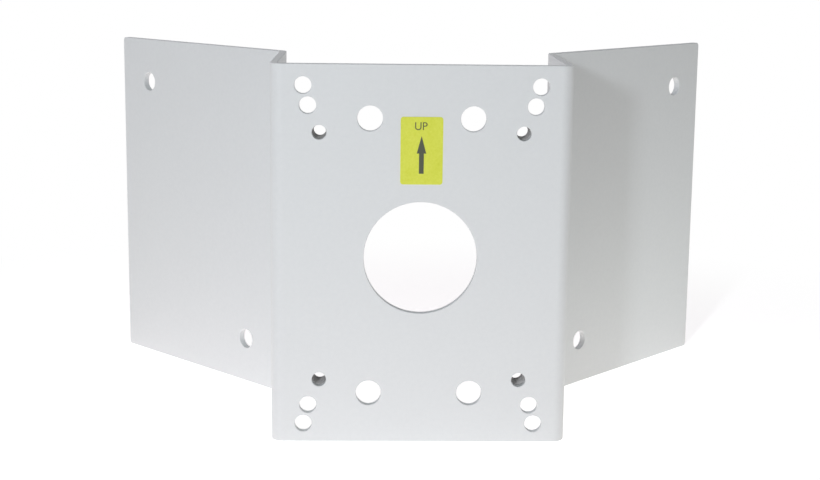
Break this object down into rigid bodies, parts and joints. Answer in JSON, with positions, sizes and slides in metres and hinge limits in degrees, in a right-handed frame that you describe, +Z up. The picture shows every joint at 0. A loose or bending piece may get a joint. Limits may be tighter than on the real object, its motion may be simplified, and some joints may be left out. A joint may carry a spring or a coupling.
{
  "type": "camera corner mount bracket",
  "caption": "Folded steel bracket that sits on the outside corner of a building, with a flat front plate for a camera arm, a cable hole, threaded bushes and slanted wings with screw holes.",
  "frame": {"origin": "centre of the cable hole, on the front skin of the plate", "axes": "+X to the right seen from the front, +Y from the plate towards the wall corner behind it, +Z up; the bracket is symmetric about X = 0"},
  "size_m": [0.3758, 0.1989, 0.2055],
  "materials": {
    "coated_steel": "smooth light grey powder coat, matt",
    "bare_steel": "dark bare steel with a cut thread",
    "label_film": "yellow-green printed film, satin"
  },
  "bodies": {
    "root": {"folded_sheet": "coated_steel", "direction_label": "label_film", "threaded_bush_upper_left": "bare_steel", "threaded_bush_upper_right": "bare_steel", "threaded_bush_lower_left": "bare_steel", "threaded_bush_lower_right": "bare_steel"}
  },
  "joints": []
}
